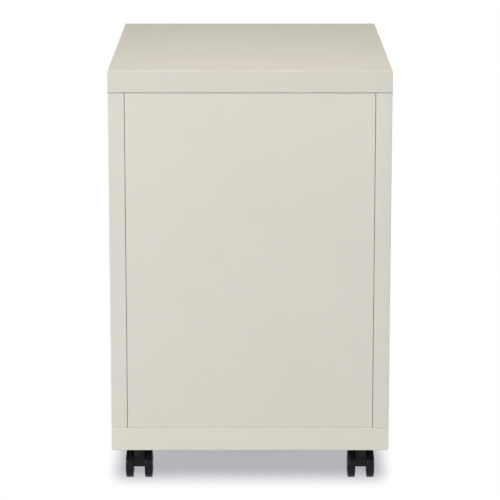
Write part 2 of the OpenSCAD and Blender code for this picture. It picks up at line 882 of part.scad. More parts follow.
module lock_barrel() {
    keyway_w = 2;
    keyway_h = 8;
    keyway_depth = 14;
    face_proud = 0.3;
    face_y = -half_d - bezel_t - face_proud;
    color(chrome)
        difference() {
            union() {
                rod_y([lock_x, face_y, lock_z], plug_d, front_back_y + lock_back_gap - face_y);
                rod_y([lock_x, cam_y, lock_z], tail_d, cam_t + tail_end);
            }
            block([lock_x - keyway_w / 2, lock_x + keyway_w / 2],
                  [face_y - cut_over, face_y + keyway_depth],
                  [lock_z - keyway_h / 2, lock_z + keyway_h / 2]);
        }
}

module lock_cam() {
    pin_proud = 0.5;
    pad_rim = 1.5;
    pin_len = bar_y + bar_t + pin_proud - cam_y - cam_t;
    pad_d = cam_pin_d + 2 * pad_rim;
    color(zinc)
        translate([lock_x, cam_y, lock_z]) rotate([0, -cam_angle, 0]) {
            difference() {
                union() {
                    rod_y([0, 0, 0], plug_d, cam_t);
                    rod_y([cam_r, 0, 0], pad_d, cam_t);
                    block([0, cam_r], [0, cam_t], [-pad_d / 2, pad_d / 2]);
                }
                rod_y([0, -cut_over, 0], tail_d + 2 * bolt_gap, cam_t + 2 * cut_over);
            }
            rod_y([cam_r, cam_t, 0], cam_pin_d, pin_len);
        }
}

module lock_bar() {
    bar_low = 20;
    pin_x = [lock_x + cam_reach, lock_x + cam_r];
    slot_r = cam_pin_d / 2 + bar_slot_gap;
    bar_z = [file_catch_z - bar_low, arm_z + arm_h / 2];
    color(zinc) {
        block([bar_x, bar_x + bar_t], [bar_y, bar_y + bar_w], bar_z);
        difference() {
            block([bar_tip_x, bar_x + bar_t], [bar_y, bar_y + bar_t],
                  [arm_z - arm_h / 2, arm_z + arm_h / 2]);
            block([pin_x[0] - slot_r, pin_x[1] + slot_r],
                  [bar_y - cut_over, bar_y + bar_t + cut_over],
                  [arm_z - slot_r, arm_z + slot_r]);
        }
        for (z = [box_catch_z, file_catch_z])
            block([lug_tip_x, bar_x + bar_t], [lug_y, lug_y + lug_w],
                  [z + lug_lift, z + lug_lift + lug_h]);
    }
}

// Blocks in the right front upright that guide the bar
module lock_bar_guides() {
    slot_gap = 0.1;
    guide_y = [front_upright_y + frame_t, bar_y + bar_w + bar_gap];
    color(black)
        for (z = [upright_z[1] - 2 * guide_h, file_catch_z + 2 * bar_travel + guide_h])
            difference() {
                block([opening_x + frame_t, bar_x + bar_t + bar_gap], guide_y, [z, z + guide_h]);
                block([bar_x - slot_gap, bar_x + bar_t + slot_gap],
                      [bar_y - slot_gap, bar_y + bar_w + slot_gap],
                      [z - cut_over, z + guide_h + cut_over]);
            }
}

// ---- Casters ----

// Children at each caster's swivel axis, on the floor
module at_casters() {
    for ($stem_y = [front_stem_y, rear_stem_y], x = [-caster_x, caster_x])
        translate([x, $stem_y, 0]) children();
}

module caster_stems() {
    pivot_low = boss_top - boss_len + boss_d / 2;
    thread_end = 2;
    thread_top = base_z + sheet_t + gusset_t + nut_h + thread_end;
    color(zinc)
        at_casters() {
            translate([0, 0, base_z - collar_t]) cylinder(h = collar_t, d = collar_d);
            translate([0, 0, pivot_low])
                cylinder(h = base_z - collar_t - pivot_low, d = pivot_d);
            translate([0, 0, base_z]) cylinder(h = thread_top - base_z, d = stem_d);
            translate([0, 0, base_z + sheet_t + gusset_t])
                difference() {
                    cylinder(h = nut_h, d = nut_w, $fn = 6);
                    translate([0, 0, -cut_over])
                        cylinder(h = nut_h + 2 * cut_over, d = stem_d + 2 * bolt_gap);
                }
        }
}

// Side view of a caster's body, with the swivel axis at 0 and the floor at 0
module caster_body_plan() {
    rear = body_r - trail;
    translate([-trail, axle_z]) circle(axle_d / 2 + axle_wall);
    intersection() {
        union() {
            for (z = [axle_z, body_high - body_r])
                translate([-trail, z]) circle(body_r);
            translate([-trail - body_r, axle_z])
                square([2 * body_r, body_high - body_r - axle_z]);
            translate([-trail, body_low]) square([trail + rear, body_high - body_low]);
        }
        translate([-trail - wheel_d, body_low]) square([2 * wheel_d, body_high]);
    }
}

module caster_body(x, y, braked) {
    boss_low = boss_top - boss_len;
    color(black)
        translate([x, y, 0])
            difference() {
                union() {
                    translate([-caster_body_w / 2, 0, 0]) rotate([90, 0, 90])
                        linear_extrude(caster_body_w) caster_body_plan();
                    translate([0, 0, boss_low + boss_d / 2])
                        cylinder(h = boss_len - boss_d / 2, d = boss_d);
                    translate([0, 0, boss_low + boss_d / 2]) sphere(d = boss_d);
                    if (braked)
                        rod_x([-wheel_x - lever_ear_w, lever_pivot[0], lever_pivot[1]],
                              lever_pin_d, 2 * (wheel_x + lever_ear_w));
                }
                rod_x([-caster_body_w, -trail, axle_z], axle_d + 2 * run_gap,
                      2 * caster_body_w);
                translate([0, 0, boss_low + boss_d / 2 - nest_gap])
                    cylinder(h = boss_len, d = pivot_d + 2 * run_gap);
            }
}

// One wheel about +Z, inner face at 0: rounded shoulders and a dished outer face
module wheel() {
    rim_r = wheel_d / 2;
    bore_r = axle_d / 2 + bolt_gap;
    rim_w = 7;
    hub_w = 3;
    dish_t = 1.4;
    dish_r = rim_r - rim_w;
    hub_r = axle_d / 2 + hub_w;
    rotate_extrude() {
        difference() {
            union() {
                translate([bore_r, 0]) square([rim_r - shoulder_r - bore_r, wheel_w]);
                translate([bore_r, shoulder_r])
                    square([rim_r - bore_r, wheel_w - 2 * shoulder_r]);
                for (z = [shoulder_r, wheel_w - shoulder_r])
                    translate([rim_r - shoulder_r, z]) circle(shoulder_r);
            }
            translate([hub_r, wheel_w - dish_t]) square([dish_r - hub_r, dish_t + cut_over]);
        }
    }
}

module caster_wheels(x, y) {
    color(black)
        translate([x, y - trail, axle_z]) {
            both_sides() translate([wheel_x, 0, 0]) rotate([0, 90, 0]) wheel();
            rod_x([-wheel_x - wheel_w, 0, 0], axle_d, 2 * (wheel_x + wheel_w));
        }
}

// Pedal with two ears on the body's trunnions and a shoe over each wheel
module brake_lever(x) {
    pivot_y = lever_pivot[0];
    pivot_z = lever_pivot[1];
    arm_z = [pivot_z + lever_arm_up, pivot_z + lever_arm_up + lever_t];
    shoe_y = [pivot_y - shoe_reach - shoe_w, pivot_y - shoe_reach];
    hub_d = lever_pin_d + 2 * lever_wall;
    color(black)
        translate([x, front_stem_y, 0])
            difference() {
                union() {
                    both_sides() {
                        rod_x([wheel_x, pivot_y, pivot_z], hub_d, lever_ear_w);
                        block([wheel_x, wheel_x + lever_ear_w],
                              [-lever_pad_y, pivot_y + hub_d / 2], arm_z);
                        block([wheel_x, lever_half_w], [-lever_pad_y, shoe_y[1]], arm_z);
                        block([wheel_x, lever_half_w], shoe_y, [pivot_z - shoe_h, arm_z[1]]);
                    }
                    block([-lever_half_w, lever_half_w], [-lever_reach, -lever_pad_y], arm_z);
                }
                rod_x([-2 * wheel_x, pivot_y, pivot_z], lever_pin_d + 2 * run_gap,
                      4 * wheel_x);
            }
}

module rear_left_caster_body() { caster_body(-caster_x, rear_stem_y, false); }
module rear_right_caster_body() { caster_body(caster_x, rear_stem_y, false); }
module front_left_caster_body() { caster_body(-caster_x, front_stem_y, true); }
module front_right_caster_body() { caster_body(caster_x, front_stem_y, true); }
module rear_left_caster_wheels() { caster_wheels(-caster_x, rear_stem_y); }
module rear_right_caster_wheels() { caster_wheels(caster_x, rear_stem_y); }
module front_left_caster_wheels() { caster_wheels(-caster_x, front_stem_y); }
module front_right_caster_wheels() { caster_wheels(caster_x, front_stem_y); }
module front_left_brake_lever() { brake_lever(-caster_x); }
module front_right_brake_lever() { brake_lever(caster_x); }

top_cap();
left_side_panel();
right_side_panel();
back_panel();
base_pan();
front_left_upright();
front_right_upright();
rear_left_upright();
rear_right_upright();
front_cross_rail();
top_stiffener();
caster_gussets();
counterweight();
box_slide_outers();
file_slide_outers();
slide_rivets();
drawer_bumpers();
lock_housing();
lock_nut();
lock_bar_guides();
caster_stems();
lock_barrel();
lock_cam();
lock_bar();
box_drawer_front();
box_drawer_pull();
box_drawer_inner_front();
box_drawer_shell();
box_drawer_back();
box_drawer_divider();
box_slide_inners();
box_drawer_rivets();
box_lock_catch();
file_drawer_front();
file_drawer_pull();
file_drawer_inner_front();
file_drawer_shell();
file_drawer_back();
file_folder_rails();
file_slide_inners();
file_drawer_rivets();
file_lock_catch();
box_slide_middles();
file_slide_middles();
box_outer_cages();
box_inner_cages();
file_outer_cages();
file_inner_cages();
rear_left_caster_body();
rear_right_caster_body();
front_left_caster_body();
front_right_caster_body();
rear_left_caster_wheels();
rear_right_caster_wheels();
front_left_caster_wheels();
front_right_caster_wheels();
front_left_brake_lever();
front_right_brake_lever();
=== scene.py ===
import math

import bmesh
import bpy
from mathutils import Matrix, Vector


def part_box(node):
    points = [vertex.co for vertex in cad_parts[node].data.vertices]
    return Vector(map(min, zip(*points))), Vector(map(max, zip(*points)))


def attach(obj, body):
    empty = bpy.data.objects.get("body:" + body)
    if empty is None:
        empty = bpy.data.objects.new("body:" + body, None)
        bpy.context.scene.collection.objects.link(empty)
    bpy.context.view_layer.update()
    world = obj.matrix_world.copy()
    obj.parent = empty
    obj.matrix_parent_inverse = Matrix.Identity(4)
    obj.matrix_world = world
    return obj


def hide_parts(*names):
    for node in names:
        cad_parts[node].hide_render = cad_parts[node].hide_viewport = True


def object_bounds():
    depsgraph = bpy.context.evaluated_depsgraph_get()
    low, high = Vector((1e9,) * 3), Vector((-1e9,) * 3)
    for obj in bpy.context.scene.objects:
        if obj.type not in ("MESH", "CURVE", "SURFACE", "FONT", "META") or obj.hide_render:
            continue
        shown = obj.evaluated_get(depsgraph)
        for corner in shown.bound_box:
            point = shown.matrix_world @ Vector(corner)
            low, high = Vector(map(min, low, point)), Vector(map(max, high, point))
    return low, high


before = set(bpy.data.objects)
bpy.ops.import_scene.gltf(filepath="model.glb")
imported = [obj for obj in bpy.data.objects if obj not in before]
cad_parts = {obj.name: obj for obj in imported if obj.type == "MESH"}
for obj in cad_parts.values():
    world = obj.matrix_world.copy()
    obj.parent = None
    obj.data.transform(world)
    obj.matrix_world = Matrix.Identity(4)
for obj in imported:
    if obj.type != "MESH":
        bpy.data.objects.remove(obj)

bl_info = {
    "name": "Pedestal Cabinet Finish",
    "version": (1, 0, 0),
    "blender": (4, 5, 0),
    "location": "3D View > Sidebar > Cabinet",
    "description": "Dresses a steel pedestal cabinet: enamel, plated parts, casters, pulls and lock",
    "category": "Object",
}

MM = 0.001
CAD_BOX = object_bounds()
CAD_FRONT_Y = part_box("top_cap")[0].y

# A caster's two wheels and their axle are one node, so the frame doesn't give these
WHEEL_WIDTH = 10.7 * MM
AXLE_RADIUS = 2.85 * MM

# Points closer than this are one point, and faces flatter to each other than this are one face
SAME_POINT = 0.004 * MM
SAME_PLANE = math.radians(0.5)
# Edges sharper than this are eased
EASED_ANGLE = math.radians(38)
# On what isn't eased, edges sharper than this are shaded as sharp
SHARP_ANGLE = math.radians(35)
# A turned profile's points closer to its axis than this lie on it
ON_AXIS = 1e-7

CASE_NODES = ("left_side_panel", "right_side_panel", "back_panel", "front_cross_rail")
FRONT_NODES = ("box_drawer_front", "file_drawer_front")
BOX_NODES = ("box_drawer_inner_front", "box_drawer_shell", "box_drawer_back",
             "box_drawer_divider", "file_drawer_inner_front", "file_drawer_shell",
             "file_drawer_back")
FRAME_NODES = ("front_left_upright", "front_right_upright", "rear_left_upright",
               "rear_right_upright", "top_stiffener", "caster_gussets")
SLIDE_NODES = ("box_slide_outers", "file_slide_outers", "box_slide_middles",
               "file_slide_middles", "box_slide_inners", "file_slide_inners")
CAGE_NODES = ("box_outer_cages", "box_inner_cages", "file_outer_cages", "file_inner_cages")
HARDWARE_NODES = ("slide_rivets", "box_drawer_rivets", "file_drawer_rivets", "lock_nut",
                  "lock_cam", "lock_bar", "box_lock_catch", "file_lock_catch", "caster_stems")
CORNERS = ("rear_left", "rear_right", "front_left", "front_right")


# ---- Settings ----

def linear(code):
    """Linear RGBA of an sRGB colour written as hex."""
    parts = [int(code[i:i + 2], 16) / 255 for i in (1, 3, 5)]
    return tuple(c / 12.92 if c <= 0.04045 else ((c + 0.055) / 1.055) ** 2.4
                 for c in parts) + (1.0,)


def colour(name, description, code):
    """Colour property with a hex default."""
    return bpy.props.FloatVectorProperty(name=name, description=description, subtype="COLOR",
                                         size=4, min=0, max=1, default=linear(code))


def length(name, description, default):
    """Length property in metres."""
    return bpy.props.FloatProperty(name=name, description=description, subtype="DISTANCE",
                                   unit="LENGTH", min=0, default=default)


def factor(name, description, default):
    """Plain number property, such as a share or a strength."""
    return bpy.props.FloatProperty(name=name, description=description, min=0, default=default)


class CabinetFinish(bpy.types.PropertyGroup):
    """Colours and surface sizes of the cabinet's finishes"""
    enamel: colour("Enamel", "Powder coat of the case and the fronts", "#D7D5CA")
    enamel_deep: colour("Enamel, deeper", "Slightly deeper tone of the same coat", "#D3D0C5")
    # Painted shade and painted light: the top's coat is made darker and the base's lighter than the
    # case's, for how light falls on them
    top_painted_shade: factor("Top's tone", "Brightness of the top's coat beside the case's", 0.95)
    base_painted_light: factor("Base's tone", "Brightness of the base's coat beside the case's", 1.04)
    inner: colour("Inner enamel", "Thinner coat inside the drawers", "#C9C9BF")
    zinc: colour("Zinc", "Bright zinc plate", "#C4C7CB")
    zinc_dull: colour("Zinc, passivated", "Duller patches of the plate", "#AEB2B4")
    chrome: colour("Chrome", "Plating of the lock", "#D8DADD")
    iron: colour("Iron", "Cast counterweight", "#4A4A4C")
    nylon: colour("Nylon", "Moulded caster bodies, levers, guides and rails", "#0D0E12")
    wheel: colour("Wheel nylon", "Moulded wheels", "#0D0E12")
    rubber: colour("Rubber", "Drawer bumpers", "#17181A")
    peel: length("Orange peel", "Distance between the coat's ripples", 3.0 * MM)
    cloud: length("Cloud", "Distance between tone changes in the coat", 140 * MM)
    rolling: length("Rolling marks", "Distance between the marks of rolled steel", 2.0 * MM)
    patches: length("Zinc patches", "Distance between the plate's duller patches", 35 * MM)
    handling: length("Handling marks", "Distance between the marks on the lock's chrome", 1.5 * MM)
    sand: length("Sand grain", "Distance between the grains of cast iron", 1.8 * MM)
    grain: length("Mould grain", "Distance between the grains of moulded parts", 0.9 * MM)
    smear: length("Handled patches", "Distance between gloss changes on moulded parts", 14 * MM)


class CabinetShapes(bpy.types.PropertyGroup):
    """Sizes of the details that the finish adds"""
    sheet_edge: length("Sheet edge", "Easing of the edges of thin sheet", 0.28 * MM)
    mould_edge: length("Moulded edge", "Easing of the edges of moulded and cast parts", 0.7 * MM)
    head_edge: length("Small edge", "Rounding of rivet heads and other small parts", 0.35 * MM)
    pull_sheet: length("Pull sheet", "Sheet thickness of a pull", 1.2 * MM)
    pull_mouth: length("Pull mouth", "Height of the opening over a pull's lip", 24 * MM)
    pull_lip: length("Pull lip", "Depth of a pull's lip", 6 * MM)
    pull_bend: length("Pull bend", "Radius of a pull's bends", 2.4 * MM)
    pull_setback: length("Pull set-back", "Depth of a pull's lip behind the front's face", 0.5 * MM)
    pull_flange: length("Pull flange", "Reach of a pull's flange behind its wall", 1.6 * MM)
    bezel_lip: length("Bezel lip", "Reach of the lock's bezel past its body", 1.5 * MM)
    bezel_crown: length("Bezel crown", "Rounding of the bezel's outer edge", 0.7 * MM)
    bezel_bore: length("Bezel bore", "Rounding of the bezel's edge round the barrel", 0.5 * MM)
    tread_round: length("Tread round", "Rounding of a wheel's shoulders", 2.4 * MM)
    wheel_rim: length("Wheel rim", "Width of a wheel's raised rim", 5.2 * MM)
    wheel_dish: length("Wheel dish", "Depth of the dish in a wheel's outer face", 1.5 * MM)
    wheel_recess: length("Wheel recess", "Depth of the recess in its inner face", 0.9 * MM)
    hub_cap: length("Hub cap", "Radius of the cap over a wheel's hub", 5.4 * MM)
    rib_width: length("Rib width", "Width of the ribs in a wheel's dish", 1.1 * MM)
    rib_count: bpy.props.IntProperty(name="Ribs", description="Number of ribs in a wheel's dish",
                                     min=0, default=8)


class CabinetStage(bpy.types.PropertyGroup):
    """Floor, lights and camera"""
    floor_size: length("Floor", "Side of the floor", 60.0)
    # Painted shadow on the floor: the box under the cabinet where it shows dark paint and a fixed
    # glow, and its soft edges
    shadow_side: length("Shadow's side", "Width of its soft edge under the cabinet's sides", 19 * MM)
    shadow_rear: length("Shadow's rear", "Width of its soft edge under the front and rear", 86 * MM)
    shadow_beside: length("Shadow beside", "Reach of its soft edge past the sides", 15 * MM)
    shadow_behind: length("Shadow behind", "Reach of its soft edge past the front and rear", 20 * MM)
    floor_colour: colour("Floor colour", "Paint of the floor", "#F3F4F6")
    # Paint and glow of the painted shadow; the lamps still light and shade the paint
    painted_shadow_floor: colour("Floor in shade", "Paint of the floor under the cabinet", "#606266")
    painted_shadow_glow: factor("Floor glow", "Light that the shaded floor adds to what falls on it", 0.44)
    painted_shadow_tint: colour("Glow's tint", "Colour of the shaded floor's added light", "#F7F9FF")
    ambient: factor("Ambient", "Strength of the light from all round", 0.20)
    ambient_tint: colour("Ambient tint", "Colour of the light from all round", "#FFFEF8")
    camera_back: length("Camera distance", "Camera's distance behind the origin", 3.618)
    camera_up: length("Camera height", "Camera's height above the floor", 1.059)
    camera_pitch: bpy.props.FloatProperty(name="Camera pitch", subtype="ANGLE",
                                          description="Downward tilt of the camera",
                                          default=math.radians(12.171))
    camera_lens: bpy.props.FloatProperty(name="Lens", description="Focal length in millimetres",
                                         default=183.3)


# ---- Shared tools ----

def node(tree, kind, inputs=None, **settings):
    """Adds a shader node with its properties, and its inputs as values or links."""
    new = tree.nodes.new(kind)
    for name, value in settings.items():
        setattr(new, name, value)
    for name, value in (inputs or {}).items():
        if isinstance(value, bpy.types.NodeSocket):
            tree.links.new(value, new.inputs[name])
        else:
            new.inputs[name].default_value = value
    return new


def new_material(name):
    """Material with an empty node tree but for its object coordinates."""
    made = bpy.data.materials.new(name)
    made.use_nodes = True
    tree = made.node_tree
    tree.nodes.clear()
    place = node(tree, "ShaderNodeTexCoord").outputs["Object"]
    return made, tree, place


def finish_settings():
    """The scene's colours and surface sizes."""
    return bpy.context.scene.cabinet_finish


def shape_settings():
    """The scene's sizes of added details."""
    return bpy.context.scene.cabinet_shapes


def stage_settings():
    """The scene's floor, light and camera settings."""
    return bpy.context.scene.cabinet_stage


def wear(target, made):
    """Gives an object this one material."""
    target.data.materials.clear()
    target.data.materials.append(made)


def smooth_faces(mesh):
    """Shades each face of a mesh as smooth."""
    for face in mesh.polygons:
        face.use_smooth = True


def shade_smooth(target):
    """Smooth shading that keeps an object's sharp edges."""
    smooth_faces(target.data)
    target.data.set_sharp_from_angle(angle=SHARP_ANGLE)


def ease_edges(target, width, segments=2):
    """Rounds an object's edges by a small bevel, as pressing or moulding leaves them."""
    weld = target.modifiers.new("weld", "WELD")
    weld.merge_threshold = SAME_POINT
    flats = target.modifiers.new("joined flats", "DECIMATE")
    flats.decimate_type = "DISSOLVE"
    flats.angle_limit = SAME_PLANE
    bevel = target.modifiers.new("eased edges", "BEVEL")
    bevel.width = width
    bevel.segments = segments
    bevel.limit_method = "ANGLE"
    bevel.angle_limit = EASED_ANGLE
    bevel.use_clamp_overlap = True
    bevel.harden_normals = True
    bevel.miter_outer = "MITER_ARC"
    flat = target.modifiers.new("flat faces", "WEIGHTED_NORMAL")
    flat.keep_sharp = True
    smooth_faces(target.data)


def dress(names, made, width, segments=2):
    """Gives the named nodes of the frame a material and eased edges."""
    for name in names:
        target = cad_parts[name]
        wear(target, made)
        ease_edges(target, width, segments)


def mesh_of(bm, name):
    """Mesh from a bmesh, with its normals outwards."""
    bmesh.ops.recalc_face_normals(bm, faces=bm.faces)
    mesh = bpy.data.meshes.new(name)
    bm.to_mesh(mesh)
    bm.free()
    return mesh


def new_piece(name, bm, body, made):
    """Puts a bmesh into the scene as a piece that rides on a body."""
    piece = bpy.data.objects.new(name, mesh_of(bm, name))
    bpy.context.scene.collection.objects.link(piece)
    wear(piece, made)
    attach(piece, body)
    return piece


def arc(centre, radius, start, end, steps):
    """Points along an arc, angles in degrees."""
    turns = [math.radians(start + (end - start) * i / steps) for i in range(steps + 1)]
    return [(centre[0] + radius * math.cos(turn), centre[1] + radius * math.sin(turn))
            for turn in turns]


def lathe(bm, profile, place, segments=72):
    """Turns (radius, height) points about +Z into a closed solid, then puts it in place."""
    turns = [2 * math.pi * i / segments for i in range(segments)]
    rings = []
    for radius, height in profile:
        if radius < ON_AXIS:
            points = [(0, 0, height)]
        else:
            points = [(radius * math.cos(turn), radius * math.sin(turn), height)
                      for turn in turns]
        rings.append([bm.verts.new(place @ Vector(point)) for point in points])
    pairs = list(zip(rings, rings[1:]))
    if len(rings[0]) > 1 and len(rings[-1]) > 1:
        pairs.append((rings[-1], rings[0]))
    for low, high in pairs:
        for i in range(segments):
            j = (i + 1) % segments
            corners = [low[i % len(low)], low[j % len(low)], high[j % len(high)],
                       high[i % len(high)]]
            unique = list(dict.fromkeys(corners))
            if len(unique) > 2:
                bm.faces.new(unique)


# ---- Materials ----

def powder_coat(name, main, deep, roughness):
    """Polyester powder coat on steel, sprayed and baked: a satin skin with a faint orange
    peel and slow changes of tone, so broad panels never look printed."""
    made, tree, place = new_material(name)
    finish = finish_settings()
    cloud = node(tree, "ShaderNodeTexNoise", {"Vector": place, "Scale": 1 / finish.cloud,
                                              "Detail": 3.0, "Roughness": 0.55})
    tone = node(tree, "ShaderNodeMix", {"Factor": cloud.outputs["Fac"], "A": main, "B": deep},
                data_type="RGBA")
    # Real ripples are about 1 mm apart; they are drawn wider so that they show
    peel = node(tree, "ShaderNodeTexNoise", {"Vector": place, "Scale": 1 / finish.peel,
                                             "Detail": 2.0, "Roughness": 0.5})
    gloss = node(tree, "ShaderNodeMapRange", {"Value": peel.outputs["Fac"],
                                              "To Min": roughness - 0.04,
                                              "To Max": roughness + 0.04})
    ripple = node(tree, "ShaderNodeBump", {"Height": peel.outputs["Fac"], "Strength": 0.10,
                                           "Distance": 0.05 * MM})
    shader = node(tree, "ShaderNodeBsdfPrincipled", {
        "Base Color": tone.outputs["Result"], "Roughness": gloss.outputs["Result"],
        "Normal": ripple.outputs["Normal"], "IOR": 1.5, "Specular IOR Level": 0.35})
    node(tree, "ShaderNodeOutputMaterial", {"Surface": shader.outputs["BSDF"]})
    return made


def painted_light_tones(painted_light_factor):
    """The enamel's two tones made darker or lighter for one part: painted shade on the top and
    painted light on the base, standing in for how light falls on them.
    """
    finish = finish_settings()
    return [[*(channel * painted_light_factor for channel in coat[:3]), 1.0]
            for coat in (finish.enamel, finish.enamel_deep)]


def zinc_plate(name, roughness):
    """Cold-rolled steel with bright zinc plate: fine rolling marks along the strip and
    slightly duller, cloudy patches where the passivation took. Ground steel is smoother."""
    made, tree, place = new_material(name)
    finish = finish_settings()
    # Real marks are about 0.1 mm apart; they are drawn wider so that they show
    stretch = node(tree, "ShaderNodeMapping", {"Vector": place, "Scale": (1.0, 0.04, 1.0)})
    marks = node(tree, "ShaderNodeTexNoise", {"Vector": stretch.outputs["Vector"],
                                              "Scale": 1 / finish.rolling, "Detail": 3.0})
    patches = node(tree, "ShaderNodeTexNoise", {"Vector": place, "Scale": 1 / finish.patches,
                                                "Detail": 3.0})
    tone = node(tree, "ShaderNodeMix", {"Factor": patches.outputs["Fac"], "A": finish.zinc[:],
                                        "B": finish.zinc_dull[:]}, data_type="RGBA")
    gloss = node(tree, "ShaderNodeMapRange", {"Value": marks.outputs["Fac"],
                                              "To Min": roughness - 0.07,
                                              "To Max": roughness + 0.08})
    scratch = node(tree, "ShaderNodeBump", {"Height": marks.outputs["Fac"], "Strength": 0.15,
                                            "Distance": 0.02 * MM})
    shader = node(tree, "ShaderNodeBsdfPrincipled", {
        "Base Color": tone.outputs["Result"], "Roughness": gloss.outputs["Result"],
        "Normal": scratch.outputs["Normal"], "Metallic": 1.0})
    node(tree, "ShaderNodeOutputMaterial", {"Surface": shader.outputs["BSDF"]})
    return made


def chrome_plate(name):
    """Polished chrome over brass, as on a small cylinder lock: mirror bright with faint
    handling marks round the keyway."""
    made, tree, place = new_material(name)
    finish = finish_settings()
    marks = node(tree, "ShaderNodeTexNoise", {"Vector": place, "Scale": 1 / finish.handling,
                                              "Detail": 4.0})
    gloss = node(tree, "ShaderNodeMapRange", {"Value": marks.outputs["Fac"], "To Min": 0.08,
                                              "To Max": 0.2})
    shader = node(tree, "ShaderNodeBsdfPrincipled", {
        "Base Color": finish.chrome[:], "Roughness": gloss.outputs["Result"], "Metallic": 1.0})
    node(tree, "ShaderNodeOutputMaterial", {"Surface": shader.outputs["BSDF"]})
    return made


def cast_iron(name):
    """Sand-cast iron, oiled: coarse grain and no clear reflections."""
    made, tree, place = new_material(name)
    finish = finish_settings()
    # Real sand grains are about 0.5 mm apart; they are drawn wider so that they show
    sand = node(tree, "ShaderNodeTexNoise", {"Vector": place, "Scale": 1 / finish.sand,
                                             "Detail": 5.0})
    relief = node(tree, "ShaderNodeBump", {"Height": sand.outputs["Fac"], "Strength": 0.5,
                                           "Distance": 0.3 * MM})
    gloss = node(tree, "ShaderNodeMapRange", {"Value": sand.outputs["Fac"], "To Min": 0.5,
                                              "To Max": 0.75})
    shader = node(tree, "ShaderNodeBsdfPrincipled", {
        "Base Color": finish.iron[:], "Roughness": gloss.outputs["Result"],
        "Normal": relief.outputs["Normal"], "Metallic": 0.6})
    node(tree, "ShaderNodeOutputMaterial", {"Surface": shader.outputs["BSDF"]})
    return made


def moulded(name, main, roughness, relief_depth):
    """Injection-moulded nylon or rubber: an even tone with the fine grain of the tool,
    and a gloss that wanders a little where it was handled."""
    made, tree, place = new_material(name)
    finish = finish_settings()
    # Real grain is about 0.2 mm apart; it is drawn wider so that it shows
    grain = node(tree, "ShaderNodeTexNoise", {"Vector": place, "Scale": 1 / finish.grain,
                                              "Detail": 2.0})
    smear = node(tree, "ShaderNodeTexNoise", {"Vector": place, "Scale": 1 / finish.smear,
                                              "Detail": 2.0})
    gloss = node(tree, "ShaderNodeMapRange", {"Value": smear.outputs["Fac"],
                                              "To Min": roughness - 0.06,
                                              "To Max": roughness + 0.08})
    relief = node(tree, "ShaderNodeBump", {"Height": grain.outputs["Fac"], "Strength": 0.3,
                                           "Distance": relief_depth})
    shader = node(tree, "ShaderNodeBsdfPrincipled", {
        "Base Color": main, "Roughness": gloss.outputs["Result"],
        "Normal": relief.outputs["Normal"], "IOR": 1.53, "Specular IOR Level": 0.16})
    node(tree, "ShaderNodeOutputMaterial", {"Surface": shader.outputs["BSDF"]})
    return made


def material(name):
    """The named material, made once."""
    if name in bpy.data.materials:
        return bpy.data.materials[name]
    finish = finish_settings()
    makers = {
        "powder coat, putty": (powder_coat, finish.enamel[:], finish.enamel_deep[:], 0.62),
        # Lit and shaded copies of one coat: painted shade on the top, painted light on the base
        "powder coat, putty top, painted shade": (powder_coat, *painted_light_tones(finish.top_painted_shade), 0.62),
        "powder coat, putty base, painted light": (powder_coat, *painted_light_tones(finish.base_painted_light), 0.62),
        "powder coat, inside": (powder_coat, finish.inner[:], finish.enamel_deep[:], 0.66),
        "zinc plate": (zinc_plate, 0.34),
        "ground steel": (zinc_plate, 0.24),
        "chrome plate": (chrome_plate,),
        "cast iron": (cast_iron,),
        "moulded nylon": (moulded, finish.nylon[:], 0.28, 0.04 * MM),
        "moulded wheel nylon": (moulded, finish.wheel[:], 0.2, 0.01 * MM),
        "soft rubber": (moulded, finish.rubber[:], 0.7, 0.05 * MM),
    }
    maker, *values = makers[name]
    return maker(name, *values)


# ---- Pieces ----

class CABINET_OT_case(bpy.types.Operator):
    """Coats the case's folded sheet and eases its edges"""
    bl_idname = "cabinet.case"
    bl_label = "Case"

    def execute(self, context):
        width = shape_settings().sheet_edge
        dress(CASE_NODES, material("powder coat, putty"), width)
        # The top wears the coat with painted shade, the base the coat with painted light
        dress(("top_cap",), material("powder coat, putty top, painted shade"), width)
        dress(("base_pan",), material("powder coat, putty base, painted light"), width)
        return {"FINISHED"}


class CABINET_OT_fronts(bpy.types.Operator):
    """Coats the drawers' outer fronts"""
    bl_idname = "cabinet.fronts"
    bl_label = "Drawer fronts"

    def execute(self, context):
        dress(FRONT_NODES, material("powder coat, putty"), shape_settings().sheet_edge)
        return {"FINISHED"}


def pull_path(low, high):
    """Side view of a pull's strip as (y, z) points, from its lip to its rear edge."""
    shapes = shape_settings()
    half = shapes.pull_sheet / 2
    nose_y = low.y + shapes.pull_setback
    lip_y = low.y + shapes.pull_lip - half
    lip_z = high.z - shapes.pull_mouth - half
    floor_z = low.z + half
    wall_y = high.y - shapes.pull_flange
    flange_z = high.z - half
    corners = [(nose_y, lip_z), (lip_y, lip_z), (lip_y, floor_z), (wall_y, floor_z),
               (wall_y, flange_z), (high.y, flange_z)]
    return rounded_path(corners, shapes.pull_bend, 6)


def rounded_path(corners, radius, steps):
    """Open path through the corners, each inner corner rounded by a fillet."""
    path = [corners[0]]
    for before, corner, after in zip(corners, corners[1:], corners[2:]):
        here = Vector(corner)
        back = Vector(before) - here
        ahead = Vector(after) - here
        reach = min(radius, back.length / 2, ahead.length / 2)
        start = here + back.normalized() * reach
        end = here + ahead.normalized() * reach
        for i in range(steps + 1):
            t = i / steps
            path.append(tuple(start * (1 - t) ** 2 + here * 2 * t * (1 - t) + end * t ** 2))
    path.append(corners[-1])
    return path


